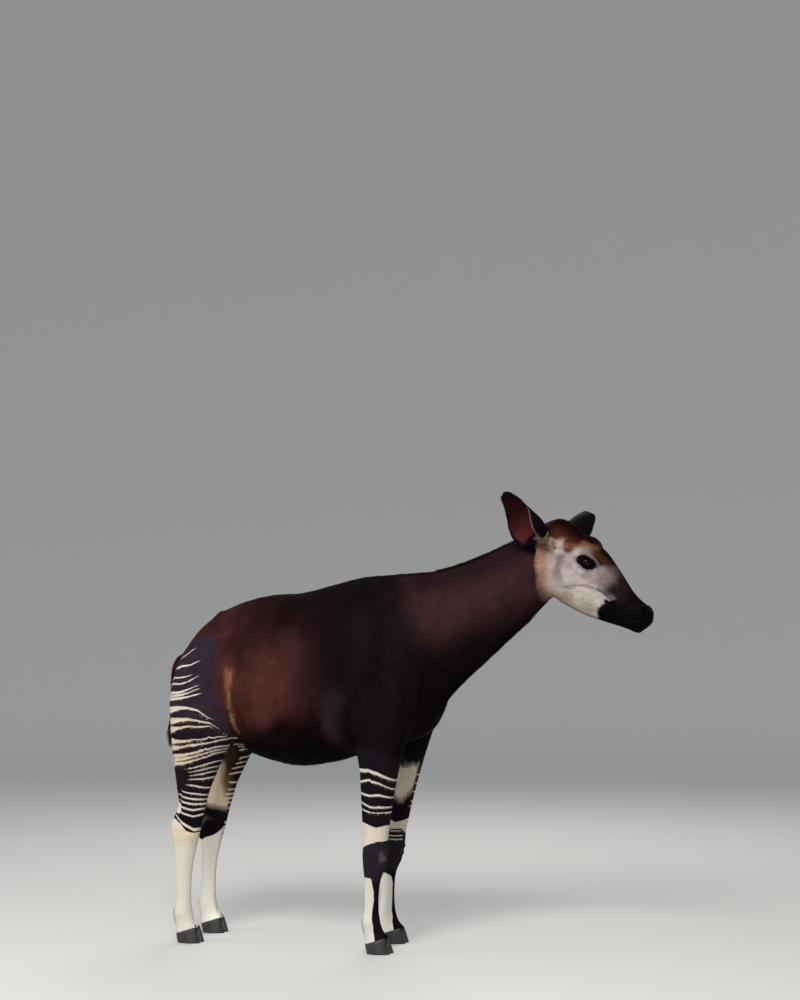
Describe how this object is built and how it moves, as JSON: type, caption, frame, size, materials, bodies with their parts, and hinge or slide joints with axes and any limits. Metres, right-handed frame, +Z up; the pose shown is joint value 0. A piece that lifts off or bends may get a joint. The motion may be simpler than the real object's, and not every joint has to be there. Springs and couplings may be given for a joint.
{
  "type": "okapi",
  "caption": "Standing okapi with a dark brown body, cream stripes on its haunches and legs, a raised neck, pale cheeks and broad ears.",
  "frame": {"origin": "on the floor under the middle of the bounding box", "axes": "+X forwards, towards the head; +Y to the animal's left; +Z up"},
  "size_m": [2.0777, 0.4998, 1.8077],
  "materials": {
    "chestnut_coat": "short glossy hair, very dark reddish brown",
    "dark_coat": "short glossy hair, near-black brown",
    "pale_coat": "short soft hair, pale grey cream",
    "striped_coat": "short hair, cream stripes on near-black",
    "horn": "dark hoof horn, satin",
    "eye": "wet, glossy, near black"
  },
  "bodies": {
    "root": {"ear_left": "dark_coat", "ear_right": "dark_coat", "eye_left": "eye", "eye_right": "eye", "foreleg_left": "striped_coat", "foreleg_right": "striped_coat", "head": "pale_coat", "hind_leg_left": "striped_coat", "hind_leg_right": "striped_coat", "hoof_fore_left_inner": "horn", "hoof_fore_left_outer": "horn", "hoof_fore_right_inner": "horn", "hoof_fore_right_outer": "horn", "hoof_hind_left_inner": "horn", "hoof_hind_left_outer": "horn", "hoof_hind_right_inner": "horn", "hoof_hind_right_outer": "horn", "neck": "dark_coat", "tail": "dark_coat", "torso": "chestnut_coat"}
  },
  "joints": []
}
